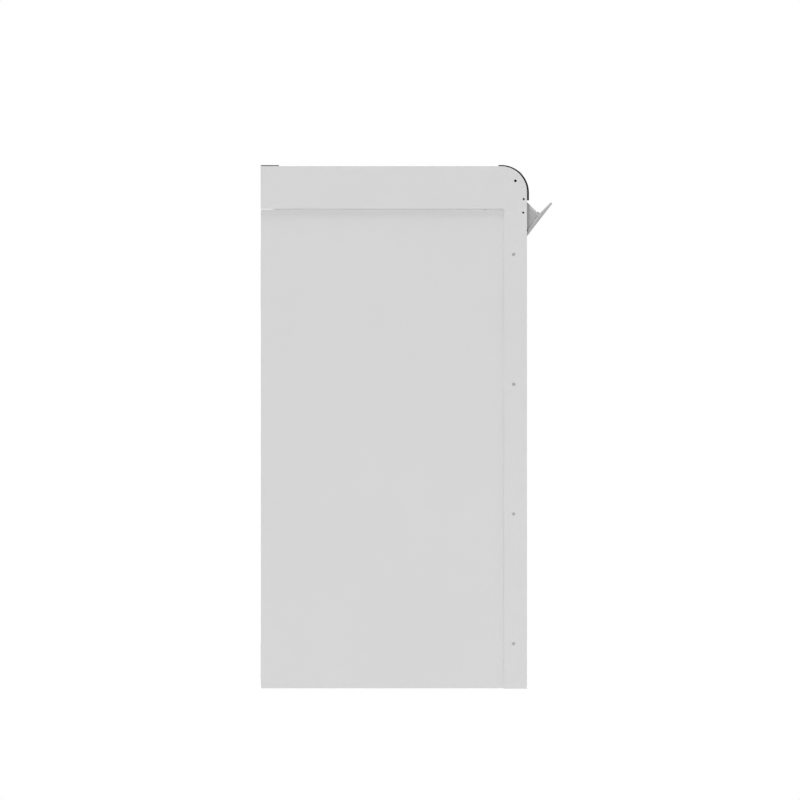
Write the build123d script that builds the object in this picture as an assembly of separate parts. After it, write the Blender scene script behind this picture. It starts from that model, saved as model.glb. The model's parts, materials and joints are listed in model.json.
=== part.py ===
from build123d import *
import os
from math import cos, radians, sin, sqrt, tan

os.makedirs("parts", exist_ok=True)

# A wall-hung home battery: a sheet steel cabinet with flat side caps, a round top front edge under a
# gloss black fascia, and a narrow flap over the control bay. Millimetres. While it is modelled, y = 0
# is the wall, the front faces -y, z = 0 is the lowest edge and x = 0 is the middle.

# ---- driving sizes: cabinet ----
WIDTH, DEPTH, HEIGHT = 480.0, 305.8, 600.0
CORNER_R = 30.0  # round of the top front edge
CAP = 2.5  # side cap plate
SHEET = 1.5  # folded steel sheet
HEAD_SHEET = 1.2
BAND = 49.2  # height of a side cap's band, along the top
STRIP = 26.5  # width of a side cap's strip, down the front
RECESS = 1.2  # from a side cap's face in to the side skin's face
SEAM = 0.3  # open joint between the band and the side skin
REAR_SEAM, REAR_SEAM_LENGTH = 0.5, 21.0
NOTCH_WIDTH, NOTCH_DEPTH, NOTCH_BACK = 3.4, 0.8, 47.8
SKIN_REAR, SKIN_FOOT, SKIN_CORNER_R = 0.25, 0.5, 2.0
HALF = WIDTH / 2
INNER = HALF - CAP  # inner face of a side cap
SKIN_X = HALF - RECESS
WALL_X = SKIN_X - SHEET  # outer face of the chassis side wall
ROOM_X = WALL_X - SHEET  # half width of the room inside
LEG_X = (234.0, 236.0)  # leg of a front post, beside the front panel's return
BAND_Z = HEIGHT - BAND
STRIP_Y = STRIP - DEPTH
WALL_TOP = 570.0  # of the chassis side walls, under the top panel's returns
CLEAR = 0.05  # around a screw, a pin or a push fit

# ---- driving sizes: fascia, head and flap ----
FASCIA_FRONT, FASCIA_TOP, FASCIA_R = 2.3, 1.3, 31.8
FASCIA_BACK, FASCIA_FOOT = 32.7, 560.6
HEAD_BACK, HEAD_FOOT = 60.0, 560.3
PANEL_TOP = 518.5  # upper edge of the front panel
PIVOT_D, PIVOT_Z = -5.0, 531.65  # flap hinge axis: distance in front of the face, and height
FLAP_OPEN = 37.8  # degrees
FLAP_FACE = 6.4  # outer face of the shut flap, in front of the cabinet's face
FLAP_LOW, FLAP_TIP, FLAP_CREASE = 525.1, 572.7, 553.7  # heights on the shut flap
FLAP_THICK, TIP_THICK = 4.8, 2.3
FLAP_HALF = INNER - 0.3
ROLL_R, ROLL_THICK = 12.6, 1.6  # lower lip of the flap, round the hinge axis
HINGE_PLATE, CHEEK_GAP = 1.5, 0.4  # thickness of the hinge bracket, and from it in to the cheek
CHEEK_X = (INNER - HINGE_PLATE - CHEEK_GAP - 3, INNER - HINGE_PLATE - CHEEK_GAP)
CHEEK_BACK = (-26.0, 557.2)
PIN_R = 2.5

# ---- driving sizes: screws seen on the side caps ----
STRIP_SCREW_D, STRIP_SCREW_Z, STRIP_SCREW_STEP = -15.4, 51.6, 149.0
STRIP_SCREW_HEAD_R, SCREW_R = 1.85, 1.0
FASCIA_SCREW = (-13.3, 583.1, 1.55)  # distance in front of the face, height, hole radius
HINGE_SCREWS = ((-3.8, 562.1), (-4.3, 546.6))
HINGE_SCREW_R, HINGE_SCREW_SUNK, FASCIA_SCREW_SUNK = 1.2, 1.2, 1.8

# ---- driving sizes: back, top vent and underside ----
BACK_GAP = 18.0  # from the wall to the chassis
FLOOR_Z = 48.0
BRACKET_Z = 470.0  # centre of the wall bracket's bolt pattern
BOLT_DX, BOLT_DZ, BOLT_R = 360.0, 40.0, 4.5
TAB_X, TAB_Z, TAB_HOLE_R = 150.0, 28.0, 3.5
STEEL = 3.0  # bracket, hook and tab plate
VENT_DEPTH, VENT_RISE = 20.9, 1.2
GLAND_Y, GLAND_X, GLAND_BORE_R = -243.0, (-120.0, -70.0, -20.0), 7.0
SOCKET_X, SOCKET_R = (45.0, 90.0), 8.0
EARTH_X, EARTH_R = 140.0, 3.0

# ---- driving sizes: inside ----
DECK_Z = 508.0  # top of the deck that carries the converter and the control bay
SHELF_Z = 279.0  # top of the shelf under the upper module
CELL = (53.5, 174.0, 207.0)  # one prismatic cell
CELL_PITCH, CELL_COUNT, CELL_BACK = 54.0, 8, -30.0
TRAY = 4.0
PLATE_Y = -226.0  # face of the electronics plate
FAN_X, FAN_Z, FAN_SIZE, FAN_DEPTH = 110.0, 555.0, 80.0, 25.0
BAY_X, BAY_BACK, BAY_MOUTH = 220.0, -45.0, -14.0
BAY_TOP = 565.5


def front(d):
    """The y of a point that is d in front of the cabinet's face."""
    return -DEPTH - d


def block(x, y, z):
    """A box between (low, high) limits in x, y and z."""
    spans = (sorted(x), sorted(y), sorted(z))
    size = [high - low for low, high in spans]
    return Pos(*[(high + low) / 2 for low, high in spans]) * Box(*size)


def rod(radius, start, end):
    """A round bar from one point to another."""
    line = Vector(*end) - Vector(*start)
    bar = Cylinder(radius, line.length, align=(Align.CENTER, Align.CENTER, Align.MIN))
    return Plane(origin=start, z_dir=line) * bar


def cross_rod(radius, d, z, x):
    """A round bar along x, between two x limits."""
    return rod(radius, (min(x), front(d), z), (max(x), front(d), z))


def outline(*points):
    return make_face(Polyline(*points, close=True))


def round_at(face, corner, radius):
    """Round one corner of an outline."""
    near = face.vertices().sort_by_distance(Vector(*corner))[0]
    return fillet(near, radius)


def side_prism(face, x):
    """Stretch a (y, z) outline between two x limits."""
    low, high = sorted(x)
    return extrude(Plane.YZ.offset(low) * face, amount=high - low)


def both(right):
    """A piece made for the +x side and its mirror image."""
    return [right, mirror(right, about=Plane.YZ)]


def opened(shut):
    """The shut flap's piece, turned about the hinge to the open stop."""
    return shut.rotate(Axis((0, front(PIVOT_D), PIVOT_Z), (1, 0, 0)), FLAP_OPEN)


def joined(*pieces):
    whole = pieces[0]
    for piece in pieces[1:]:
        whole = whole + piece
    return whole


def save(name, *pieces):
    """Write one node, with the origin at the wall bracket's bolt pattern."""
    solids = [solid.moved(Location((0, 0, -BRACKET_Z))) for piece in pieces for solid in piece.solids()]
    export_step(solids[0] if len(solids) == 1 else Compound(solids), f"parts/{name}.step")


# ---- cabinet shells ----
def corner_block(face_d, top, radius, back, foot, x):
    """A block under the round top front edge, from a foot height and a distance behind the face."""
    face = outline((front(face_d), foot), (front(face_d), top), (front(-back), top), (front(-back), foot))
    return side_prism(round_at(face, (front(face_d), top), radius), x)


def side_cap():
    plate = outline((0, HEIGHT), (-DEPTH, HEIGHT), (-DEPTH, 0), (STRIP_Y, 0), (STRIP_Y, BAND_Z), (0, BAND_Z))
    cap = side_prism(round_at(plate, (-DEPTH, HEIGHT), CORNER_R), (INNER, HALF))
    cap += block((INNER - SHEET, INNER), (STRIP_Y - SHEET, STRIP_Y), (0, BAND_Z + SHEET))
    for z in strip_screw_heights():
        cap -= cross_rod(STRIP_SCREW_HEAD_R, STRIP_SCREW_D, z, (INNER, HALF + 1))
    for d, z in HINGE_SCREWS:
        cap -= cross_rod(HINGE_SCREW_R, d, z, (INNER - 1, HALF + 1))
    d, z, radius = FASCIA_SCREW
    return cap - cross_rod(radius, d, z, (INNER - 1, HALF + 1))


def strip_screw_heights():
    return [STRIP_SCREW_Z + STRIP_SCREW_STEP * i for i in range(4)]


def side_skin():
    top, rear_top = BAND_Z - SEAM, BAND_Z - REAR_SEAM
    notch = front(-NOTCH_BACK)
    face = outline(
        (-SKIN_REAR, SKIN_FOOT), (STRIP_Y, SKIN_FOOT), (STRIP_Y, top),
        (notch - NOTCH_WIDTH / 2, top), (notch - NOTCH_WIDTH / 2, top - NOTCH_DEPTH),
        (notch + NOTCH_WIDTH / 2, top - NOTCH_DEPTH), (notch + NOTCH_WIDTH / 2, top),
        (-REAR_SEAM_LENGTH, top), (-REAR_SEAM_LENGTH, rear_top), (-SKIN_REAR, rear_top),
    )
    return side_prism(round_at(face, (-SKIN_REAR, SKIN_FOOT), SKIN_CORNER_R), (WALL_X, SKIN_X))


def front_post():
    """Upright between the chassis and a side cap's strip; the strip's screws hold in its leg."""
    low, high = LEG_X
    post = block((BAY_X + 1, high), (STRIP_Y - SHEET, STRIP_Y), (2, BAND_Z))
    post += block((low, high), (front(-6), STRIP_Y - SHEET), (2, PANEL_TOP - SHEET))
    for z in strip_screw_heights():
        post -= cross_rod(SCREW_R + CLEAR, STRIP_SCREW_D, z, (low - 1, high + 1))
    return post


def front_panel():
    panel = block((-INNER, INNER), (-DEPTH, SHEET - DEPTH), (0, PANEL_TOP))
    panel += block((-LEG_X[0], LEG_X[0]), (SHEET - DEPTH, front(BAY_MOUTH)), (PANEL_TOP - SHEET, PANEL_TOP))
    panel += block((-INNER, INNER), (SHEET - DEPTH, STRIP_Y - 2.5), (0, SHEET))
    side = block((INNER - SHEET, INNER), (SHEET - DEPTH, STRIP_Y - 2.5), (0, PANEL_TOP))
    for z in strip_screw_heights():
        side -= cross_rod(SCREW_R + CLEAR, STRIP_SCREW_D, z, (LEG_X[0], HALF))
    return joined(panel, *both(side))


def top_panel():
    start = front(-HEAD_BACK)
    lid = block((-INNER, INNER), (start, -BACK_GAP), (HEIGHT - SHEET, HEIGHT))
    side = block((INNER - SHEET, INNER), (start, -BACK_GAP - 2), (WALL_TOP + 5, HEIGHT - SHEET))
    return joined(lid, *both(side))


def light_pipe_spots():
    return [20.0 * i for i in range(-2, 3)]


def light_pipe(x, inner, outer, radius):
    """A round bar that leans 45 degrees out through the round edge, between two radii from its centre."""
    ends = [(x, front(r * cos(radians(45)) - CORNER_R), HEIGHT - CORNER_R + r * sin(radians(45)))
            for r in (inner, outer)]
    return rod(radius, *ends)


def head_panel():
    width = (-INNER, INNER)
    inside = CORNER_R - HEAD_SHEET
    core = corner_block(-HEAD_SHEET, HEIGHT - HEAD_SHEET, inside, HEAD_BACK, HEAD_FOOT, width)
    shell = corner_block(0, HEIGHT, CORNER_R, HEAD_BACK, HEAD_FOOT, width) - core
    end = core & block((INNER - SHEET, INNER), (-DEPTH, front(-HEAD_BACK)), (WALL_TOP + 2, HEIGHT))
    d, z, _ = FASCIA_SCREW
    end -= cross_rod(SCREW_R + CLEAR, d, z, (INNER - 3, INNER + 1))
    shell = joined(shell, *both(end))
    for x in light_pipe_spots():
        shell -= light_pipe(x, 24, 34, 2 + CLEAR)
    return shell


def display_fascia():
    width = (-HALF, HALF)
    outer = corner_block(FASCIA_FRONT, HEIGHT + FASCIA_TOP, FASCIA_R, FASCIA_BACK, FASCIA_FOOT, width)
    inner = corner_block(0, HEIGHT, CORNER_R, FASCIA_BACK, FASCIA_FOOT, width)
    fascia = outer - inner
    for x in light_pipe_spots():
        fascia -= light_pipe(x, 24, 34, 2 + CLEAR)
    return fascia


def rear_vent_strip():
    """Slotted strip over the air gap behind the chassis."""
    strip = block((-ROOM_X, ROOM_X), (-BACK_GAP + 0.2, -SKIN_REAR), (592, HEIGHT))
    strip += block((-HALF + 0.5, HALF - 0.5), (-VENT_DEPTH, -0.2), (HEIGHT, HEIGHT + VENT_RISE))
    for row in (-13.0, -5.5):
        for i in range(22):
            x = 20.0 * (i - 10.5)
            strip -= block((x - 8, x + 8), (row - 2.25, row + 2.25), (590, HEIGHT + 3))
    return strip


def chassis():
    back = block((-WALL_X, WALL_X), (-BACK_GAP - SHEET, -BACK_GAP), (FLOOR_Z, HEIGHT - SHEET))
    floor = block((-WALL_X, WALL_X), (STRIP_Y, -BACK_GAP), (FLOOR_Z, FLOOR_Z + SHEET))
    floor -= block((-180, 180), (-258, -215), (FLOOR_Z - 1, FLOOR_Z + 3))
    wall = block((ROOM_X, WALL_X), (STRIP_Y, -BACK_GAP), (FLOOR_Z, WALL_TOP))
    wall += block((ROOM_X - 12, ROOM_X), (STRIP_Y, STRIP_Y + SHEET), (FLOOR_Z, DECK_Z - 8))
    pan = joined(back, floor, *both(wall))
    for x in (-FAN_X, FAN_X):
        for i in range(8):
            z = 9.0 * (i - 3.5)
            half = sqrt(37.0**2 - z**2) - 3
            height = (FAN_Z + z - 2.5, FAN_Z + z + 2.5)
            pan -= block((x - half, x + half), (-BACK_GAP - 3, -BACK_GAP + 1), height)
    for i in range(9):
        x = 44.0 * (i - 4)
        pan -= block((x - 16, x + 16), (-212, -208), (FLOOR_Z - 1, FLOOR_Z + 3))
    for x, z in hook_bolt_spots():
        pan -= rod(3 + CLEAR, (x, -BACK_GAP - 3, z), (x, -BACK_GAP + 1, z))
    return pan


# ---- wall fixing ----
def hook_bolt_spots():
    hooks = [(side * x, 545.0) for side in (-1, 1) for x in (20.0, 40.0)]
    tabs = [(side * (TAB_X + dx), 65.0) for side in (-1, 1) for dx in (-12.0, 12.0)]
    return hooks + tabs


def wall_bracket():
    """Rail with a lip that stands off the wall, for the hooks."""
    rail = block((-200, 200), (-STEEL, 0), (435, 505))
    rail += block((-200, 200), (-12, -STEEL), (505 - STEEL, 505))
    rail += block((-200, 200), (-12, STEEL - 12), (505, 525))
    for x in (-BOLT_DX / 2, BOLT_DX / 2):
        for z in (BRACKET_Z - BOLT_DZ / 2, BRACKET_Z + BOLT_DZ / 2):
            rail -= rod(BOLT_R, (x, -STEEL - 1, z), (x, 1, z))
    return rail


def hanger_hook():
    """Hook plate on the chassis that drops over the bracket's lip, in the middle of its length."""
    plate = block((-60, 60), (-BACK_GAP, STEEL - BACK_GAP), (525, 560))
    plate += block((-60, 60), (-BACK_GAP, -4.5), (525, 525 + STEEL))
    plate += block((-60, 60), (-7.5, -4.5), (508, 525))
    for x, z in hook_bolt_spots():
        if z > 500:
            plate -= rod(3 + CLEAR, (x, -BACK_GAP - 1, z), (x, -BACK_GAP + 4, z))
    return plate


def lower_tab():
    """Cranked tab that screws the cabinet's foot to the wall."""
    x = (TAB_X - 20, TAB_X + 20)
    tab = block(x, (-STEEL, 0), (12, FLOOR_Z))
    tab += block(x, (-BACK_GAP, 0), (FLOOR_Z, FLOOR_Z + STEEL))
    tab += block(x, (-BACK_GAP, STEEL - BACK_GAP), (FLOOR_Z, 78))
    tab -= rod(TAB_HOLE_R, (TAB_X, -STEEL - 1, TAB_Z), (TAB_X, 1, TAB_Z))
    for dx in (-12.0, 12.0):
        tab -= rod(3 + CLEAR, (TAB_X + dx, -BACK_GAP - 1, 65), (TAB_X + dx, -BACK_GAP + 4, 65))
    return tab


def hook_bolts():
    """Bolts through the chassis back, with a dome head behind and a nut inside."""
    bolts = []
    for x, z in hook_bolt_spots():
        y = STEEL - BACK_GAP
        bolt = rod(3, (x, y - 8, z), (x, y, z)) + rod(5.5, (x, y, z), (x, y + 2.6, z))
        bolt -= rod(1.8, (x, y + 1, z), (x, y + 3, z))
        nut = Plane(origin=(x, y - 4.6, z), z_dir=(0, -1, 0)) * extrude(RegularPolygon(5.5, 6), amount=3)
        bolts.append(bolt + nut)
    return bolts


# ---- side screws ----
def strip_screw(z):
    """Cheese head screw, sunk a little below the cap's face."""
    head = cross_rod(STRIP_SCREW_HEAD_R - 0.1, STRIP_SCREW_D, z, (INNER, HALF - 0.5))
    head -= cross_rod(0.8, STRIP_SCREW_D, z, (HALF - 1.3, HALF))
    return head + cross_rod(SCREW_R, STRIP_SCREW_D, z, (LEG_X[0] - 0.5, INNER))


def fascia_screw():
    d, z, radius = FASCIA_SCREW
    screw = cross_rod(radius - CLEAR, d, z, (INNER, HALF - FASCIA_SCREW_SUNK))
    return screw + cross_rod(SCREW_R, d, z, (INNER - 4, INNER))


def hinge_screw(d, z):
    screw = cross_rod(HINGE_SCREW_R - CLEAR, d, z, (INNER - HINGE_PLATE, HALF - HINGE_SCREW_SUNK))
    return screw - cross_rod(0.5, d, z, (HALF - HINGE_SCREW_SUNK - 0.6, HALF))


# ---- flap ----
def hinge_bracket():
    plate = block((INNER - HINGE_PLATE, INNER), (front(-2), front(-20)), (PIVOT_Z, WALL_TOP))
    plate += cross_rod(4.9, PIVOT_D, PIVOT_Z, (INNER - HINGE_PLATE, INNER))
    plate -= cross_rod(PIN_R + 0.01, PIVOT_D, PIVOT_Z, (CHEEK_X[1], INNER - 0.5))
    for d, z in HINGE_SCREWS:
        plate -= cross_rod(HINGE_SCREW_R, d, z, (INNER - HINGE_PLATE - 1, INNER + 1))
    return plate


def hinge_pin():
    pin = cross_rod(PIN_R, PIVOT_D, PIVOT_Z, (CHEEK_X[0] - 0.5, INNER - 0.6))
    return pin + cross_rod(4, PIVOT_D, PIVOT_Z, (CHEEK_X[0] - 2.5, CHEEK_X[0] - 0.5))


def roll_point(radius, angle):
    return (front(PIVOT_D + radius * cos(radians(angle))), PIVOT_Z + radius * sin(radians(angle)))


def flap_panel():
    """Plate with a tapered finger lip above and a lip rolled round the hinge axis below."""
    face, back, tip_back = (front(FLAP_FACE - t) for t in (0, FLAP_THICK, TIP_THICK))
    plate = outline((face, FLAP_LOW), (face, FLAP_TIP), (tip_back, FLAP_TIP), (back, FLAP_CREASE),
                    (back, FLAP_LOW))
    start, middle, end = -30.0, -55.0, -80.0
    inner = ROLL_R - ROLL_THICK
    roll = make_face(Wire([
        ThreePointArc(*[roll_point(ROLL_R, a) for a in (start, middle, end)]).edge(),
        Line(roll_point(ROLL_R, end), roll_point(inner, end)).edge(),
        ThreePointArc(*[roll_point(inner, a) for a in (end, middle, start)]).edge(),
        Line(roll_point(inner, start), roll_point(ROLL_R, start)).edge(),
    ]))
    solid = side_prism(plate, (-FLAP_HALF, FLAP_HALF))
    inside = [e for e in solid.edges() if abs(e.center().X) > FLAP_HALF - 0.01 and e.length > 15
              and e.center().Y > face + 1]
    solid = chamfer(inside, 2)
    return opened(solid + side_prism(roll, (4 - FLAP_HALF, FLAP_HALF - 4)))


def flap_cheek():
    """Side arm of the flap, on the hinge pin; its top edge is the open stop."""
    y, z = front(PIVOT_D), PIVOT_Z
    back = front(FLAP_FACE - FLAP_THICK)
    rear = (front(CHEEK_BACK[0]), CHEEK_BACK[1])
    face = outline((back, FLAP_CREASE), rear, (y + 8, z), (y, z - 6), (back, z - 2))
    arm = side_prism(round_at(face, rear, 3), CHEEK_X)
    top = [e for e in arm.edges() if e.center().Z > 553 and e.center().X > CHEEK_X[1] - 0.01
           and e.length > 15]
    arm = chamfer(top, 2.2) + cross_rod(6.5, PIVOT_D, PIVOT_Z, CHEEK_X)
    return opened(arm - cross_rod(PIN_R + CLEAR, PIVOT_D, PIVOT_Z, (200, HALF)))


def flap_seal():
    back = front(FLAP_FACE - FLAP_THICK)
    return opened(block((-190, 190), (back, back + 1.2), (546, 550)))


def catch_plate():
    back = front(FLAP_FACE - FLAP_THICK)
    return opened(rod(5, (203, back, 550), (203, back + 2.7, 550)))


def magnet_catch():
    return block((196, 210), (front(-1.4), front(-12)), (545, BAY_TOP - SHEET))


# ---- control bay ----
def control_bay():
    y_back, y_mouth = front(BAY_BACK), front(BAY_MOUTH)
    bay = block((-BAY_X, BAY_X), (y_back, y_back + SHEET), (DECK_Z, BAY_TOP))
    bay += block((-BAY_X, BAY_X), (y_mouth, y_back), (DECK_Z, DECK_Z + SHEET))
    bay += block((-BAY_X, BAY_X), (y_mouth, y_mouth + SHEET), (DECK_Z, PANEL_TOP))
    bay += block((-BAY_X, BAY_X), (front(-HEAD_SHEET), y_back), (BAY_TOP - SHEET, BAY_TOP))
    side = block((BAY_X - SHEET, BAY_X), (y_mouth, y_back), (DECK_Z, BAY_TOP))
    return joined(bay, *both(side))


TOGGLE = (-172.0, -31.0, 534.5)  # x, distance in front of the face, height


def breaker_body():
    x, d, z = TOGGLE
    body = block((x - 18, x + 18), (front(BAY_BACK), front(-32)), (z - 22.5, z + 22.5))
    body += block((x - 18, x + 18), (front(-32), front(-25)), (z - 14, z + 14))
    body -= block((x - 8.5, x + 8.5), (front(-39.5), front(-20)), (z - 12, z + 12))
    return body - cross_rod(2 + CLEAR, d, z, (x - 11, x + 11))


def breaker_toggle():
    x, d, z = TOGGLE
    drum = cross_rod(7, d, z, (x - 8, x + 8)) + cross_rod(2, d, z, (x - 10.5, x + 10.5))
    lever = block((x - 6, x + 6), (front(d), front(d + 17)), (z - 2, z + 2))
    lever = lever.rotate(Axis((x, front(d), z), (1, 0, 0)), -25)
    return drum + lever


KNOB = (-108.0, 537.0)  # x and height of the isolator's axis


def isolator_base():
    x, z = KNOB
    base = block((x - 22, x + 22), (front(BAY_BACK), front(-37)), (z - 22, z + 22))
    return base - rod(4 + CLEAR, (x, front(-37) - 1, z), (x, front(-43), z))


def isolator_knob():
    x, z = KNOB
    knob = rod(16, (x, front(-36.6), z), (x, front(-30), z)) + rod(4, (x, front(-30), z), (x, front(-42), z))
    return knob + block((x - 3.5, x + 3.5), (front(-30), front(-20)), (z - 14, z + 14))


BUTTON = (-50.0, 537.0)


def button_bezel():
    x, z = BUTTON
    ring = rod(13, (x, front(BAY_BACK), z), (x, front(-38), z))
    return ring - rod(9.3, (x, front(BAY_BACK) + 1, z), (x, front(-37), z))


def power_button():
    x, z = BUTTON
    cap = rod(9.2, (x, front(-42), z), (x, front(-35.5), z))
    return cap - rod(4, (x, front(-36.2), z), (x, front(-34), z))


PORT_X, PORT_Z, PORT_PITCH, PORT_COUNT = 20.0, 536.0, 19.0, 4


def data_ports():
    low, high = PORT_X - 10, PORT_X + PORT_PITCH * (PORT_COUNT - 1) + 10
    strip = block((low, high), (front(BAY_BACK), front(-33)), (PORT_Z - 9, PORT_Z + 9))
    for i in range(PORT_COUNT):
        x = PORT_X + PORT_PITCH * i
        strip -= block((x - 6, x + 6), (front(-43), front(-32)), (PORT_Z - 4.5, PORT_Z + 4.5))
    return strip


# ---- indicator ----
def indicator_board():
    """Board across the inside of the round edge, behind the light pipes."""
    middle = light_pipe(0, 18.4, 20, 9)
    plane = Plane(origin=middle.center(), x_dir=(1, 0, 0), z_dir=(0, -1, 1))
    return plane * Box(110, 18, 1.6)


def light_pipes():
    return [light_pipe(x, 20, FASCIA_R + 0.05, 2) for x in light_pipe_spots()]


# ---- battery modules ----
def module_bases():
    return (FLOOR_Z + SHEET, SHELF_Z)


def cell_xs():
    return [CELL_PITCH * (i - (CELL_COUNT - 1) / 2) for i in range(CELL_COUNT)]


def cells(base):
    wide, deep, tall = CELL
    z = base + TRAY
    group = []
    for x in cell_xs():
        can = block((x - wide / 2, x + wide / 2), (CELL_BACK - deep, CELL_BACK), (z, z + tall))
        for y in terminal_ys():
            can += rod(6, (x, y, z + tall), (x, y, z + tall + 3))
        can += rod(9, (x, CELL_BACK - deep / 2, z + tall), (x, CELL_BACK - deep / 2, z + tall + 0.6))
        group.append(can)
    return group


def terminal_ys():
    middle = CELL_BACK - CELL[1] / 2
    return (middle - 62, middle + 62)


def module_tray(base):
    half = CELL_PITCH * CELL_COUNT / 2 + 8
    tray = block((-half, half), (CELL_BACK - CELL[1] - 6, CELL_BACK + 6), (base, base + 14))
    depth = (CELL_BACK - CELL[1] - 2, CELL_BACK + 2)
    return tray - block((3 - half, half - 3), depth, (base + TRAY, base + 20))


def module_ends(base):
    near = CELL_PITCH * CELL_COUNT / 2
    z = base + TRAY
    return both(block((near, near + 5), (CELL_BACK - CELL[1], CELL_BACK), (z, z + CELL[2])))


def module_straps(base):
    """Steel bands along the front and back of the cells, hooked round the end plates."""
    far = CELL_PITCH * CELL_COUNT / 2 + 5
    bands = []
    for z in (base + 60, base + 160):
        ring = block((-far - 1, far + 1), (CELL_BACK - CELL[1] - 1, CELL_BACK + 1), (z, z + 18))
        bands.append(ring - block((-far, far), (CELL_BACK - CELL[1], CELL_BACK), (z - 1, z + 19)))
    return bands


def busbars(base):
    z = base + TRAY + CELL[2] + 3
    near, far = terminal_ys()
    bars = []
    xs = cell_xs()
    for i, (x, following) in enumerate(zip(xs, xs[1:])):
        y = near if i % 2 else far
        bars.append(block((x - 10, following + 10), (y - 10, y + 10), (z, z + 2.5)))
    bars.append(block((xs[0] - 10, xs[0] + 10), (near - 14, near + 10), (z, z + 2.5)))
    bars.append(block((xs[-1] - 10, xs[-1] + 10), (near - 14, near + 10), (z, z + 2.5)))
    return bars


def module_shelf():
    shelf = block((-ROOM_X, ROOM_X), (-222, -BACK_GAP - SHEET), (SHELF_Z - 2, SHELF_Z))
    return shelf + block((-ROOM_X, ROOM_X), (-222, -220.5), (SHELF_Z - 20, SHELF_Z - 2))


def deck():
    return block((-ROOM_X, ROOM_X), (-277, -BACK_GAP - SHEET), (DECK_Z - 2, DECK_Z))


# ---- electronics ----
def electronics_plate():
    return block((-ROOM_X, ROOM_X), (PLATE_Y, PLATE_Y + 2), (FLOOR_Z + SHEET, DECK_Z - 2))


def bms_board():
    board = block((-200, -20), (PLATE_Y - 7.6, PLATE_Y - 6), (300, 460))
    for x in (-194, -26):
        for z in (306, 454):
            board += rod(3, (x, PLATE_Y, z), (x, PLATE_Y - 6, z))
    for x, z, wide, tall, thick in ((-150, 400, 24, 24, 3), (-90, 420, 30, 14, 9), (-170, 330, 12, 40, 11),
                                    (-100, 350, 50, 26, 14), (-45, 380, 14, 60, 11)):
        board += block((x - wide / 2, x + wide / 2), (PLATE_Y - 7.6 - thick, PLATE_Y - 7.6),
                       (z - tall / 2, z + tall / 2))
    return board


def contactor():
    body = block((30, 90), (PLATE_Y - 44, PLATE_Y), (390, 450))
    for x in (45, 75):
        body += rod(4, (x, PLATE_Y - 52, 430), (x, PLATE_Y - 44, 430))
    return body


def fuse():
    base = block((30, 120), (PLATE_Y - 8, PLATE_Y), (322, 350))
    return base + rod(13, (42, PLATE_Y - 20, 336), (108, PLATE_Y - 20, 336))


def terminal_block():
    body = block((-130, 130), (PLATE_Y - 28, PLATE_Y), (84, 112))
    for i in range(9):
        x = 28.0 * (i - 4)
        body -= block((x - 9, x + 9), (PLATE_Y - 30, PLATE_Y - 12), (92, 120))
    return body


def battery_lead(x, stud_x):
    """Stiff lead from a terminal up the electronics plate to a lug on the contactor's stud."""
    near, clear, out = PLATE_Y - 20, PLATE_Y - 46, PLATE_Y - 57
    points = [(x, near, 93), (x, near, 150), (x + (stud_x - x) / 3, clear, 215), (stud_x, clear - 3, 300),
              (stud_x, out, 370), (stud_x - 1, out - 0.5, 422)]
    path = FilletPolyline(*points, radius=bend_radii(points))
    lead = sweep(Plane(origin=path @ 0, z_dir=path % 0) * Circle(4), path=path)
    return [lead, block((stud_x - 6, stud_x + 6), (out - 3, PLATE_Y - 52), (424, 438))]


def bend_radii(points):
    """The largest arc that each corner's two runs allow."""
    radii = []
    for before, corner, after in zip(points, points[1:], points[2:]):
        first, second = Vector(*corner) - Vector(*before), Vector(*after) - Vector(*corner)
        half_turn = radians(first.get_angle(second)) / 2
        radii.append(0.45 * min(first.length, second.length) / tan(half_turn))
    return radii


# ---- converter and fans ----
def converter_case():
    case = block((-190, 190), (-240, -60), (DECK_Z, 545))
    for x in (-198, 198):
        for y in (-220, -80):
            case += block((x - 9, x + 9), (y - 9, y + 9), (DECK_Z, DECK_Z + 3))
    return case


def heat_sink():
    sink = block((-188, 188), (-238, -62), (545, 551))
    for i in range(25):
        x = 15.5 * (i - 12)
        sink += block((x - 1.2, x + 1.2), (-238, -62), (551, 588))
    return sink


def fan_frame(x):
    y = -BACK_GAP - SHEET
    half = FAN_SIZE / 2
    frame = block((x - half, x + half), (y - FAN_DEPTH, y), (FAN_Z - half, FAN_Z + half))
    frame -= rod(38, (x, y - FAN_DEPTH - 1, FAN_Z), (x, y + 1, FAN_Z))
    for sx in (-1, 1):
        for sz in (-1, 1):
            spot = (x + sx * 35.75, FAN_Z + sz * 35.75)
            frame -= rod(2.15, (spot[0], y - FAN_DEPTH - 1, spot[1]), (spot[0], y + 1, spot[1]))
    mount = rod(16, (x, y - 4, FAN_Z), (x, y - 0.5, FAN_Z))
    for angle in (90, 210, 330):
        arm = block((x, x + 38.5), (y - 3.5, y - 0.5), (FAN_Z - 2, FAN_Z + 2))
        mount += arm.rotate(Axis((x, 0, FAN_Z), (0, 1, 0)), angle)
    return frame + mount - rod(1.55, (x, y - 5, FAN_Z), (x, y - 1.5, FAN_Z))


def fan_rotor(x):
    """Hub, shaft and seven pitched blades."""
    y = -BACK_GAP - SHEET
    rotor = rod(17, (x, y - 23, FAN_Z), (x, y - 5, FAN_Z)) + rod(1.5, (x, y - 5, FAN_Z), (x, y - 2, FAN_Z))
    ring = rod(36.5, (x, y - 22.5, FAN_Z), (x, y - 5.5, FAN_Z))
    for i in range(7):
        blade = Box(24, 1.6, 24).rotate(Axis((0, 0, 0), (1, 0, 0)), 38)
        blade = (Pos(x + 27, y - 14, FAN_Z) * blade).rotate(Axis((x, 0, FAN_Z), (0, 1, 0)), 360 / 7 * i)
        rotor += blade & ring
    return rotor


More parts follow.
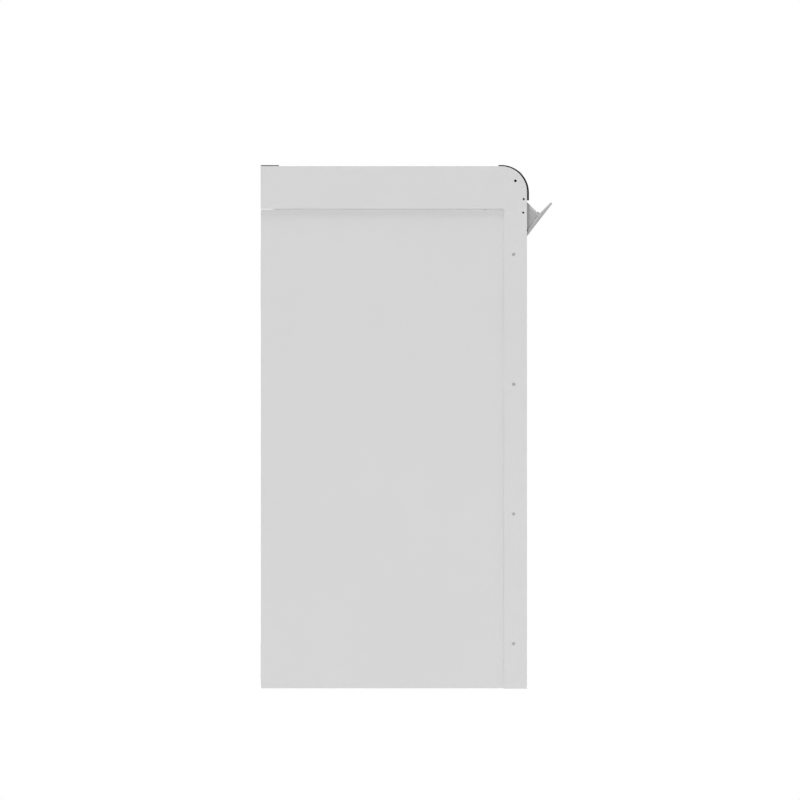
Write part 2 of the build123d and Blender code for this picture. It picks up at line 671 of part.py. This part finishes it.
# ---- underside ----
def gland_plate():
    plate = block((-190, 190), (-264, -209), (FLOOR_Z - 2, FLOOR_Z))
    for x in GLAND_X:
        plate -= rod(12.5 + CLEAR, (x, GLAND_Y, FLOOR_Z - 3), (x, GLAND_Y, FLOOR_Z + 1))
    for x in SOCKET_X:
        plate -= rod(9 + CLEAR, (x, GLAND_Y, FLOOR_Z - 3), (x, GLAND_Y, FLOOR_Z + 1))
    return plate - rod(EARTH_R + CLEAR, (EARTH_X, GLAND_Y, FLOOR_Z - 3), (EARTH_X, GLAND_Y, FLOOR_Z + 1))


def hexagon(x, radius, low, high):
    return Pos(x, GLAND_Y, low) * extrude(RegularPolygon(radius, 6), amount=high - low)


def gland_body(x):
    low = FLOOR_Z - 2
    body = hexagon(x, 16.5, low - 6, low) + rod(12.5, (x, GLAND_Y, low), (x, GLAND_Y, low + 12))
    body += rod(10.5, (x, GLAND_Y, low - 14), (x, GLAND_Y, low - 6))
    return body - rod(GLAND_BORE_R, (x, GLAND_Y, low - 20), (x, GLAND_Y, low + 20))


def gland_nut(x):
    """Dome nut under the gland's body."""
    high = FLOOR_Z - 8.2
    nut = hexagon(x, 15, high - 12, high) + rod(12.5, (x, GLAND_Y, high - 18), (x, GLAND_Y, high - 12))
    nut = nut - rod(10.5 + CLEAR, (x, GLAND_Y, high - 8), (x, GLAND_Y, high + 1))
    return nut - rod(GLAND_BORE_R, (x, GLAND_Y, high - 20), (x, GLAND_Y, high + 1))


def power_socket(x):
    low = FLOOR_Z - 2
    socket = rod(13, (x, GLAND_Y, low - 4), (x, GLAND_Y, low))
    socket += rod(11, (x, GLAND_Y, low - 22), (x, GLAND_Y, low))
    socket += rod(9, (x, GLAND_Y, low), (x, GLAND_Y, low + 16))
    return socket - rod(SOCKET_R, (x, GLAND_Y, low - 23), (x, GLAND_Y, low - 4))


def earth_stud():
    low = FLOOR_Z - 2
    stud = rod(EARTH_R, (EARTH_X, GLAND_Y, low - 20), (EARTH_X, GLAND_Y, low + 8))
    return stud + hexagon(EARTH_X, 5.8, low - 6, low) + hexagon(EARTH_X, 5.8, low + 2, low + 6)


# ---- write the nodes ----
def main():
    for name, right in (("side_cap", side_cap()), ("side_skin", side_skin()), ("flap_cheek", flap_cheek())):
        save(f"{name}_right", right)
        save(f"{name}_left", mirror(right, about=Plane.YZ))
    for make in (chassis, top_panel, head_panel, display_fascia, front_panel, rear_vent_strip, wall_bracket,
                 hanger_hook, flap_panel, flap_seal, control_bay, breaker_body, breaker_toggle,
                 isolator_base, isolator_knob, button_bezel, power_button, data_ports, indicator_board,
                 module_shelf, deck, electronics_plate, bms_board, contactor, fuse, terminal_block,
                 converter_case, heat_sink, gland_plate, earth_stud):
        save(make.__name__, make())
    save("lower_tabs", *both(lower_tab()))
    save("hook_bolts", *hook_bolts())
    save("front_posts", *both(front_post()))
    save("strip_screws", *[s for z in strip_screw_heights() for s in both(strip_screw(z))])
    save("fascia_screws", *both(fascia_screw()))
    save("hinge_screws", *[s for d, z in HINGE_SCREWS for s in both(hinge_screw(d, z))])
    save("hinge_brackets", *both(hinge_bracket()))
    save("hinge_pins", *both(hinge_pin()))
    save("catch_plates", *both(catch_plate()))
    save("magnet_catches", *both(magnet_catch()))
    save("light_pipes", *light_pipes())
    lower, upper = module_bases()
    save("cells_lower", *cells(lower))
    save("cells_upper", *cells(upper))
    save("module_trays", module_tray(lower), module_tray(upper))
    save("end_plates", *module_ends(lower), *module_ends(upper))
    save("module_straps", *module_straps(lower), *module_straps(upper))
    save("busbars", *busbars(lower), *busbars(upper))
    save("battery_leads", *battery_lead(-84, 45), *battery_lead(28, 75))
    save("fan_frames", fan_frame(-FAN_X), fan_frame(FAN_X))
    save("fan_rotor_left", fan_rotor(-FAN_X))
    save("fan_rotor_right", fan_rotor(FAN_X))
    save("cable_glands", *[gland_body(x) for x in GLAND_X])
    save("gland_nuts", *[gland_nut(x) for x in GLAND_X])
    save("power_sockets", *[power_socket(x) for x in SOCKET_X])


main()
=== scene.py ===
"""Looks of the wall battery unit: materials, detail pieces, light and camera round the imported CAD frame.

Metres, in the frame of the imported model: the origin is the centre of the wall bracket's bolts on the wall
plane, +Y goes into the wall, the front faces -Y and +Z is up.
"""
import json
import math

import bmesh
import bpy
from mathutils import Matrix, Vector


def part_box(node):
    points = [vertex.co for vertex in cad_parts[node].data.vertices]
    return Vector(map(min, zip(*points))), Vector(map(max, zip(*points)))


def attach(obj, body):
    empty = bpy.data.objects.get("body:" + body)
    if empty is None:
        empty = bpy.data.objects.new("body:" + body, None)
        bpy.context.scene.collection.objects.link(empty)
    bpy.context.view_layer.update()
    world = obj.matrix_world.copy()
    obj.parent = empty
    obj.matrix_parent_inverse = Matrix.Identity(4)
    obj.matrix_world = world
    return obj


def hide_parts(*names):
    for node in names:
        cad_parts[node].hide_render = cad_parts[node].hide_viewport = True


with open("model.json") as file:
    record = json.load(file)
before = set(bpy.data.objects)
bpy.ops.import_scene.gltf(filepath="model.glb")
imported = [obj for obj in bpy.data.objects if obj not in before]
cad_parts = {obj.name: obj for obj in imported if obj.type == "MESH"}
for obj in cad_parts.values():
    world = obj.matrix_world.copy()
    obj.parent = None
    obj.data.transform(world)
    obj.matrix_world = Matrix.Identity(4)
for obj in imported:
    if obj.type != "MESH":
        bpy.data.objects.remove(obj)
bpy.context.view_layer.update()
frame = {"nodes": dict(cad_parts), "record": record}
MM = 0.001


# ---- materials ----
MIX_FACTOR, MIX_FIRST, MIX_SECOND, MIX_RESULT = 0, 6, 7, 2  # a Mix node's colour sockets


class Shader:
    """A Principled material that is built up node by node."""

    def __init__(self, name, roughness, metallic=0.0):
        self.material = bpy.data.materials.new(name)
        self.material.use_nodes = True
        self.nodes = self.material.node_tree.nodes
        self.links = self.material.node_tree.links
        self.principled = self.nodes["Principled BSDF"]
        self.set("Roughness", roughness)
        self.set("Metallic", metallic)
        self.place = self.nodes.new("ShaderNodeTexCoord").outputs["Object"]

    def set(self, socket, value):
        self.principled.inputs[socket].default_value = value

    def stretched(self, scale):
        mapping = self.nodes.new("ShaderNodeMapping")
        mapping.inputs["Scale"].default_value = scale
        self.links.new(self.place, mapping.inputs["Vector"])
        return mapping.outputs["Vector"]

    def noise(self, scale, detail=2.0, rough=0.5, stretch=(1, 1, 1)):
        node = self.nodes.new("ShaderNodeTexNoise")
        node.inputs["Scale"].default_value = scale
        node.inputs["Detail"].default_value = detail
        node.inputs["Roughness"].default_value = rough
        self.links.new(self.stretched(stretch), node.inputs["Vector"])
        return node.outputs["Fac"]

    def cells(self, scale, output="Color"):
        node = self.nodes.new("ShaderNodeTexVoronoi")
        node.inputs["Scale"].default_value = scale
        self.links.new(self.place, node.inputs["Vector"])
        return node.outputs[output]

    def spread(self, source, low, high, start=0.3, end=0.7):
        """A number that goes from low to high as the source goes from start to end."""
        node = self.nodes.new("ShaderNodeMapRange")
        for name, value in (("From Min", start), ("From Max", end), ("To Min", low), ("To Max", high)):
            node.inputs[name].default_value = value
        self.links.new(source, node.inputs["Value"])
        return node.outputs["Result"]

    def mix(self, source, first, second):
        """A colour between two colours, by a 0 to 1 source."""
        node = self.nodes.new("ShaderNodeMix")
        node.data_type = "RGBA"
        for socket, colour in ((MIX_FIRST, first), (MIX_SECOND, second)):
            if isinstance(colour, tuple):
                node.inputs[socket].default_value = (*colour, 1.0)
            else:
                self.links.new(colour, node.inputs[socket])
        self.links.new(source, node.inputs[MIX_FACTOR])
        return node.outputs[MIX_RESULT]

    def colour(self, output):
        self.links.new(output, self.principled.inputs["Base Color"])

    def roughness(self, output):
        self.links.new(output, self.principled.inputs["Roughness"])

    def bump(self, source, distance):
        """Raise the surface by the source, times a distance in metres."""
        node = self.nodes.new("ShaderNodeBump")
        node.inputs["Strength"].default_value = 1.0
        node.inputs["Distance"].default_value = distance
        self.links.new(source, node.inputs["Height"])
        self.links.new(node.outputs["Normal"], self.principled.inputs["Normal"])


def shade(colour, factor):
    return tuple(min(1.0, channel * factor) for channel in colour)


def powder_coat(name, colour, roughness=0.55, specular=0.35):
    """Baked powder paint: a fine orange peel with a trace of dust and cloudiness."""
    shader = Shader(name, roughness)
    cloud = shader.spread(shader.noise(9, 3, 0.6), 0, 1)
    fleck = shader.spread(shader.noise(1500, 1), 0, 1)
    soft = shader.mix(cloud, shade(colour, 0.992), shade(colour, 1.008))
    dark = shader.mix(cloud, shade(colour, 0.975), shade(colour, 0.99))
    shader.colour(shader.mix(shader.spread(fleck, 0, 0.35), soft, dark))
    shader.roughness(shader.spread(shader.noise(40, 4), roughness - 0.05, roughness + 0.06))
    shader.bump(shader.noise(650, 2), 0.06 * MM)
    shader.set("Specular IOR Level", specular)
    return shader.material


def gloss_panel(name, colour):
    """Black acrylic sheet with a hard coat: long waves and faint hairlines."""
    shader = Shader(name, 0.08)
    shader.set("Coat Weight", 0.15)
    shader.set("Coat Roughness", 0.03)
    haze = shader.spread(shader.noise(30, 3), 0, 1)
    shader.colour(shader.mix(haze, shade(colour, 0.9), shade(colour, 1.15)))
    shader.roughness(shader.spread(shader.noise(900, 2, 0.5, (0.05, 1, 1)), 0.06, 0.16))
    shader.bump(shader.noise(14, 1), 0.04 * MM)
    return shader.material


def moulded(name, colour, roughness, grain=1.0):
    """Injection moulded plastic with a spark-eroded grain."""
    shader = Shader(name, roughness)
    cloud = shader.spread(shader.noise(25, 3), 0, 1)
    shader.colour(shader.mix(cloud, shade(colour, 0.93), shade(colour, 1.06)))
    shader.roughness(shader.spread(shader.noise(300, 3), roughness - 0.07, roughness + 0.08))
    shader.bump(shader.cells(1400, "Distance"), 0.05 * MM * grain)
    return shader.material


def galvanised(name, colour):
    """Zinc-coated sheet: crystals that differ in tone and gloss, and faint rolling lines."""
    shader = Shader(name, 0.42, 0.85)
    crystal = shader.nodes.new("ShaderNodeSeparateColor")
    shader.links.new(shader.cells(170), crystal.inputs["Color"])
    tone = shader.spread(crystal.outputs["Red"], 0, 1, 0, 1)
    shader.colour(shader.mix(tone, shade(colour, 0.86), shade(colour, 1.1)))
    shader.roughness(shader.spread(crystal.outputs["Green"], 0.34, 0.52, 0, 1))
    shader.bump(shader.noise(500, 2, 0.5, (1, 1, 0.04)), 0.02 * MM)
    return shader.material


def brushed(name, colour, roughness, along=(0.03, 1, 1)):
    """Metal with fine brush or turning lines."""
    shader = Shader(name, roughness, 1.0)
    lines = shader.noise(1800, 3, 0.6, along)
    shader.colour(shader.mix(shader.spread(lines, 0, 1), shade(colour, 0.88), shade(colour, 1.08)))
    shader.roughness(shader.spread(lines, roughness - 0.08, roughness + 0.1))
    shader.bump(lines, 0.02 * MM)
    return shader.material


def rubber(name, colour):
    """Matt rubber with dust on it."""
    shader = Shader(name, 0.8)
    dust = shader.spread(shader.noise(60, 4), 0, 1, 0.45, 0.8)
    shader.colour(shader.mix(dust, colour, tuple(channel + 0.02 for channel in colour)))
    shader.bump(shader.noise(1200, 2), 0.06 * MM)
    return shader.material


def circuit_board(name, colour):
    """Green solder mask over tracks, with tinned pads."""
    tin = (0.62, 0.6, 0.55)
    shader = Shader(name, 0.35)
    brick = shader.nodes.new("ShaderNodeTexBrick")
    brick.inputs["Scale"].default_value = 160
    brick.inputs["Mortar Size"].default_value = 0.03
    shader.links.new(shader.place, brick.inputs["Vector"])
    tracks = shader.mix(brick.outputs["Fac"], colour, shade(colour, 1.9))
    pads = shader.spread(shader.cells(260, "Distance"), 1, 0, 0.18, 0.24)
    shader.colour(shader.mix(pads, tracks, tin))
    shader.bump(brick.outputs["Fac"], 0.05 * MM)
    return shader.material


def clear_lens(name, colour):
    """Milky clear plastic."""
    shader = Shader(name, 0.12)
    shader.set("Transmission Weight", 0.7)
    shader.set("IOR", 1.49)
    milk = shader.spread(shader.noise(400, 2), 0, 1)
    shader.colour(shader.mix(milk, colour, shade(colour, 1.1)))
    return shader.material


BODY = (0.66, 0.66, 0.66)
# The flap's grey is darker than the body partly as its own darker paint and partly as painted shade: the
# shade of its set-in place beside the cabinet is put into its colour.
FLAP_GREY_AND_PAINTED_SHADE = (0.40, 0.40, 0.40)
ALONG_Y, ALONG_Z, NO_GRAIN = (1, 0.03, 1), (1, 1, 0.05), (1, 1, 1)

# material slot: (builder, colour, then the builder's own options)
FINISHES = {
    "body_paint": (powder_coat, BODY),
    # the flap's grey holds painted shade as well as its paint
    "flap_paint": (powder_coat, FLAP_GREY_AND_PAINTED_SHADE, 0.45),
    "fascia_black": (gloss_panel, (0.012, 0.012, 0.013)),
    "vent_grey": (moulded, (0.1, 0.1, 0.1), 0.6),
    "galvanised": (galvanised, (0.56, 0.57, 0.58)),
    "bracket_steel": (brushed, (0.62, 0.62, 0.63), 0.38),
    "zinc_screw": (brushed, (0.5, 0.5, 0.51), 0.4, NO_GRAIN),
    "black_screw": (powder_coat, (0.004, 0.004, 0.004), 0.9, 0.03),
    "bay_grey": (moulded, (0.16, 0.165, 0.17), 0.5),
    "switch_white": (moulded, (0.76, 0.76, 0.74), 0.42, 0.5),
    "switch_black": (moulded, (0.03, 0.03, 0.03), 0.4, 0.5),
    "knob_red": (moulded, (0.5, 0.025, 0.018), 0.3, 0.3),
    "button_steel": (brushed, (0.6, 0.6, 0.6), 0.28),
    "seal_rubber": (rubber, (0.02, 0.02, 0.02)),
    "magnet_nickel": (brushed, (0.6, 0.58, 0.55), 0.25),
    "lens_clear": (clear_lens, (0.75, 0.9, 0.8)),
    "board_green": (circuit_board, (0.02, 0.13, 0.05)),
    "cell_blue": (moulded, (0.05, 0.15, 0.4), 0.3, 0.2),
    "tray_plastic": (moulded, (0.05, 0.05, 0.05), 0.55),
    "end_plate_alu": (brushed, (0.7, 0.7, 0.71), 0.35),
    "busbar_metal": (brushed, (0.75, 0.74, 0.7), 0.3),
    "black_case": (moulded, (0.03, 0.03, 0.033), 0.45),
    "fuse_ceramic": (moulded, (0.78, 0.75, 0.68), 0.6, 0.6),
    "lead_orange": (rubber, (0.7, 0.2, 0.02)),
    "converter_alu": (galvanised, (0.5, 0.5, 0.51)),
    "sink_alu": (brushed, (0.62, 0.62, 0.63), 0.4, ALONG_Y),
    "fan_black": (moulded, (0.025, 0.025, 0.025), 0.5),
    "gland_black": (moulded, (0.03, 0.03, 0.03), 0.5),
    "socket_orange": (moulded, (0.65, 0.17, 0.02), 0.4, 0.6),
    "brass_stud": (brushed, (0.75, 0.58, 0.28), 0.3, ALONG_Z),
}
MATERIALS = {name: build(name, *options) for name, (build, *options) in FINISHES.items()}
SLOT_OF = {part["node"]: part["material_slot"] for part in frame["record"]["subparts"]}
BODY_OF = {node: body for body, nodes in frame["record"]["behaviour"]["bodies"].items() for node in nodes}

for node, obj in frame["nodes"].items():
    obj.data.materials.clear()
    obj.data.materials.append(MATERIALS[SLOT_OF[node]])


# ---- mesh helpers ----
SMOOTH_BELOW = math.radians(35)
BROKEN_ABOVE = math.radians(50)
FLAT_BELOW = math.radians(0.5)
SAME_POINT = 1e-6  # metres


def add_piece(name, mesh, slot, body):
    """Link a finished bmesh as one piece that rides on a body."""
    bmesh.ops.recalc_face_normals(mesh, faces=mesh.faces)
    data = bpy.data.meshes.new(name)
    mesh.to_mesh(data)
    mesh.free()
    data.shade_smooth()
    data.set_sharp_from_angle(angle=SMOOTH_BELOW)
    data.materials.append(MATERIALS[slot])
    obj = bpy.data.objects.new(name, data)
    bpy.context.scene.collection.objects.link(obj)
    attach(obj, body)
    return obj


def edged(node, width):
    """A copy of a CAD node with its sharp edges broken, in place of the node."""
    mesh = bmesh.new()
    mesh.from_mesh(frame["nodes"][node].data)
    bmesh.ops.remove_doubles(mesh, verts=mesh.verts, dist=SAME_POINT)
    bmesh.ops.dissolve_limit(mesh, angle_limit=FLAT_BELOW, verts=mesh.verts, edges=mesh.edges)
    piece = add_piece(f"{node}_finish", mesh, SLOT_OF[node], BODY_OF[node])
    bevel = piece.modifiers.new("broken_edges", "BEVEL")
    bevel.width = width
    bevel.segments = 2
    bevel.limit_method = "ANGLE"
    bevel.angle_limit = BROKEN_ABOVE
    bevel.harden_normals = True
    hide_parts(node)


def circle(radius, count):
    """Points spread evenly round a circle on the XY plane, from +X."""
    for step in range(count):
        angle = 2 * math.pi * step / count
        yield Vector((radius * math.cos(angle), radius * math.sin(angle), 0))


def lathe(mesh, profile, centre, axis, steps):
    """Turn a profile of (radius, distance along axis) about an axis through centre."""
    turn = Vector((0, 0, 1)).rotation_difference(Vector(axis)).to_matrix()
    rings = []
    for radius, along in profile:
        spots = [Vector()] if radius < SAME_POINT else circle(radius, steps)
        lift = Vector((0, 0, along))
        rings.append([mesh.verts.new(Vector(centre) + turn @ (spot + lift)) for spot in spots])
    for lower, upper in zip(rings, rings[1:]):
        for step in range(steps):
            following = (step + 1) % steps
            corners = [lower[step % len(lower)], lower[following % len(lower)],
                       upper[following % len(upper)], upper[step % len(upper)]]
            mesh.faces.new(list(dict.fromkeys(corners)))


def in_mm(*profile):
    return [(radius * MM, along * MM) for radius, along in profile]


def bar(mesh, low, high):
    """A closed box between two corners."""
    corners = [mesh.verts.new((x, y, z)) for z in (low[2], high[2]) for y in (low[1], high[1])
               for x in (low[0], high[0])]
    for face in ((0, 1, 3, 2), (4, 6, 7, 5), (0, 4, 5, 1), (1, 5, 7, 3), (3, 7, 6, 2), (2, 6, 4, 0)):
        mesh.faces.new([corners[i] for i in face])


def dome_profile(radius, rise):
    """From a flat foot, sunk a tenth of the rise, up and over to the middle."""
    steps = 5
    foot = -0.1 * rise
    arc = [math.pi / 2 * step / steps for step in range(steps + 1)]
    return [(0, foot), (radius, foot)] + [(radius * math.cos(a), rise * math.sin(a)) for a in arc]


def evenly(first, last, count):
    return [first + (last - first) * i / (count - 1) for i in range(count)]


# ---- pieces ----
SHEET_EDGE, MOULDED_EDGE = 0.15 * MM, 0.4 * MM
SHEET_NODES = ("front_panel", "top_panel", "head_panel", "flap_panel", "flap_cheek_left", "flap_cheek_right")
MOULDED_NODES = ("wall_bracket", "hanger_hook", "lower_tabs", "gland_plate", "control_bay", "breaker_body",
                 "breaker_toggle", "isolator_base", "isolator_knob", "power_button", "button_bezel",
                 "data_ports")
for node in SHEET_NODES:
    edged(node, SHEET_EDGE)
for node in MOULDED_NODES:
    edged(node, MOULDED_EDGE)


def back_rivets():
    """Blind rivets down both sides of the chassis back and along its foot, with their pulled mandrels."""
    low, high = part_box("chassis")
    in_x, in_z = 9 * MM, 12 * MM
    rivet = in_mm((0, 0), (3.1, 0), (3.2, 0.3), (2.6, 0.9), (1.2, 1.1), (1.0, 0.5), (0, 0.5))
    sides = [(x, z) for z in evenly(low.z + in_z, high.z - in_z, 7) for x in (-high.x + in_x, high.x - in_x)]
    foot = [(x, low.z + in_z) for x in evenly(low.x + in_x, high.x - in_x, 6)[1:-1]]
    mesh = bmesh.new()
    for x, z in sides + foot:
        lathe(mesh, rivet, (x, high.y, z), (0, 1, 0), 20)
    add_piece("back_rivets", mesh, "zinc_screw", "cabinet")


def indicator_lenses():
    """Low domes where the light pipes come through the fascia."""
    low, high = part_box("light_pipes")
    pipe_radius, sunk = 2 * MM, 1.15 * MM
    lean = Vector((0, -1, 1)).normalized()
    tip = Vector((0, low.y, high.z)) - lean * sunk
    dome = dome_profile(2.4 * MM, 0.35 * MM)
    mesh = bmesh.new()
    for x in evenly(low.x + pipe_radius, high.x - pipe_radius, 5):
        lathe(mesh, dome, tip + Vector((x, 0, 0)), lean, 24)
    add_piece("indicator_lenses", mesh, "lens_clear", "cabinet")


def port_contacts():
    """Eight sprung contacts on the roof of each data socket."""
    low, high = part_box("data_ports")
    ports, port_pitch = 4, 19 * MM
    contacts, contact_pitch, half_width = 8, 1.1 * MM, 0.2 * MM
    centre, middle = (low.x + high.x) / 2, (low.z + high.z) / 2
    front, back = low.y + 3 * MM, high.y - 2 * MM
    under, roof = middle + 2.6 * MM, middle + 3 * MM
    mesh = bmesh.new()
    for i in range(ports):
        for j in range(contacts):
            x = centre + port_pitch * (i - (ports - 1) / 2) + contact_pitch * (j - (contacts - 1) / 2)
            bar(mesh, (x - half_width, front, under), (x + half_width, back, roof))
    add_piece("port_contacts", mesh, "brass_stud", "cabinet")


def breaker_terminals():
    """Clamp screws in the two steps of the breaker."""
    low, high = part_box("breaker_body")
    in_x, in_z = 9 * MM, 4.2 * MM
    step_y = high.y - 13.2 * MM
    screw = in_mm((0, 0), (2.6, 0), (2.6, 0.4), (2.2, 0.6), (1.3, 0.6), (1.2, 0.1), (0, 0.1))
    mesh = bmesh.new()
    for x in (low.x + in_x, high.x - in_x):
        for z in (low.z + in_z, high.z - in_z):
            lathe(mesh, screw, (x, step_y, z), (0, -1, 0), 20)
    add_piece("breaker_terminals", mesh, "zinc_screw", "cabinet")


def knob_marks():
    """Pointer line down the isolator's grip, and two stops marked on its base."""
    proud = 0.15 * MM
    low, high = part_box("isolator_knob")
    x, half = (low.x + high.x) / 2, 0.7 * MM
    pointer = bmesh.new()
    bar(pointer, (x - half, low.y - proud, high.z - 8 * MM), (x + half, low.y + 0.3 * MM, high.z - 2.4 * MM))
    add_piece("knob_pointer", pointer, "switch_white", "isolator_handle")

    low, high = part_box("isolator_base")
    z, half = (low.z + high.z) / 2, 0.6 * MM
    near, far = 1.2 * MM, 4.2 * MM
    front, back = low.y - proud, low.y + 0.2 * MM
    stops = bmesh.new()
    bar(stops, (x - half, front, high.z - far), (x + half, back, high.z - near))
    bar(stops, (high.x - far, front, z - half), (high.x - near, back, z + half))
    add_piece("knob_stops", stops, "switch_white", "cabinet")


def ribbed_gland_nuts():
    """Dome nuts with grip ribs, a round nose and a bore, in place of the plain ones."""
    low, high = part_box("gland_nuts")
    count, pitch, first = 3, 50 * MM, 15 * MM
    nose, bore, wide_bore, wide_depth = 12.5 * MM, 7 * MM, 10.55 * MM, 8 * MM
    ribs, rib_radius = 24, 0.7 * MM
    depth = high.z - low.z
    grip = nose + 0.3 * MM
    nut = [(bore, 0.0), (bore + 1.5 * MM, 0.0), (nose - 2.4 * MM, 0.5 * MM), (nose - 0.6 * MM, 2.2 * MM),
           (nose, 5.2 * MM), (grip, 5.8 * MM), (grip, depth - 0.6 * MM), (nose - 0.2 * MM, depth),
           (wide_bore, depth), (wide_bore, depth - wide_depth), (bore, depth - wide_depth), (bore, 0.0)]
    rib = [(0, 6.4 * MM), (rib_radius, 7.2 * MM), (rib_radius, depth - 1 * MM), (0, depth - 0.4 * MM)]
    reach = (high.y - low.y) / 2 - 0.75 * MM
    mesh = bmesh.new()
    for i in range(count):
        foot = Vector((low.x + first + pitch * i, (low.y + high.y) / 2, low.z))
        lathe(mesh, nut, foot, (0, 0, 1), 48)
        for spot in circle(reach, ribs):
            lathe(mesh, rib, foot + spot, (0, 0, 1), 8)
    bmesh.ops.remove_doubles(mesh, verts=mesh.verts, dist=SAME_POINT)
    nuts = add_piece("gland_nuts_ribbed", mesh, "gland_black", "cabinet")
    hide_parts("gland_nuts")


back_rivets()
indicator_lenses()
port_contacts()
breaker_terminals()
knob_marks()
ribbed_gland_nuts()


# ---- camera, light and floor ----
VIEW_WIDTH = 0.9184
VIEW_PLACE = (-3.0, -0.160, -0.1385)
LAMP_AIM = Vector((0, -0.15, -0.14))
WORLD_FILL, WORLD_BACKDROP = 0.38, 1.0
FLOOR_HEIGHT = -1.1


def side_camera():
    """Level orthographic view at the cabinet's left side, with its front to the right."""
    data = bpy.data.cameras.new("camera")
    data.type = "ORTHO"
    data.ortho_scale = VIEW_WIDTH
    data.clip_end = 20
    camera = bpy.data.objects.new("camera", data)
    camera.location = VIEW_PLACE
    camera.rotation_euler = (math.radians(90), 0, math.radians(-90))
    bpy.context.scene.collection.objects.link(camera)
    bpy.context.scene.camera = camera


def softbox(name, place, size, power):
    """A square area light that looks at the cabinet's middle."""
    data = bpy.data.lights.new(name, "AREA")
    data.size = size
    data.energy = power
    lamp = bpy.data.objects.new(name, data)
    lamp.location = place
    lamp.rotation_euler = (LAMP_AIM - Vector(place)).to_track_quat("-Z", "Y").to_euler()
    lamp.visible_camera = False
    bpy.context.scene.collection.objects.link(lamp)


def studio_world():
    """White behind the object, and an even fill dimmer than that on it."""
    world = bpy.data.worlds.new("studio")
    world.use_nodes = True
    nodes, links = world.node_tree.nodes, world.node_tree.links
    nodes.clear()
    output = nodes.new("ShaderNodeOutputWorld")
    mix = nodes.new("ShaderNodeMixShader")
    for socket, strength in ((1, WORLD_FILL), (2, WORLD_BACKDROP)):
        white = nodes.new("ShaderNodeBackground")
        white.inputs["Color"].default_value = (1, 1, 1, 1)
        white.inputs["Strength"].default_value = strength
        links.new(white.outputs["Background"], mix.inputs[socket])
    path = nodes.new("ShaderNodeLightPath")
    links.new(path.outputs["Is Camera Ray"], mix.inputs["Fac"])
    links.new(mix.outputs["Shader"], output.inputs["Surface"])
    bpy.context.scene.world = world


def studio_floor():
    """Pale floor well below the unit, which hangs on its wall."""
    mesh = bmesh.new()
    bmesh.ops.create_grid(mesh, x_segments=8, y_segments=8, size=6)
    data = bpy.data.meshes.new("studio_floor")
    mesh.to_mesh(data)
    mesh.free()
    floor = bpy.data.objects.new("studio_floor", data)
    floor.location = (0, 0, FLOOR_HEIGHT)
    shader = Shader("floor_paint", 0.8)
    mottle = shader.spread(shader.noise(3, 4), 0, 1)
    shader.colour(shader.mix(mottle, (0.86, 0.86, 0.86), (0.9, 0.9, 0.9)))
    data.materials.append(shader.material)
    bpy.context.scene.collection.objects.link(floor)


side_camera()
bpy.context.scene.view_settings.view_transform = "Standard"
for side in (-1, 1):
    for way in (-1, 1):
        softbox(f"side_softbox_{side}_{way}", (2.6 * side, 1.2 * way - 0.15, -0.1), 1.0, 13.2)
softbox("front_softbox", (0, -3.0, 0.3), 2.0, 26)
softbox("back_softbox", (0, 2.8, 0.3), 2.0, 26)
softbox("overhead_softbox", (-0.50, -0.15, 2.6), 0.35, 62)
studio_world()
studio_floor()
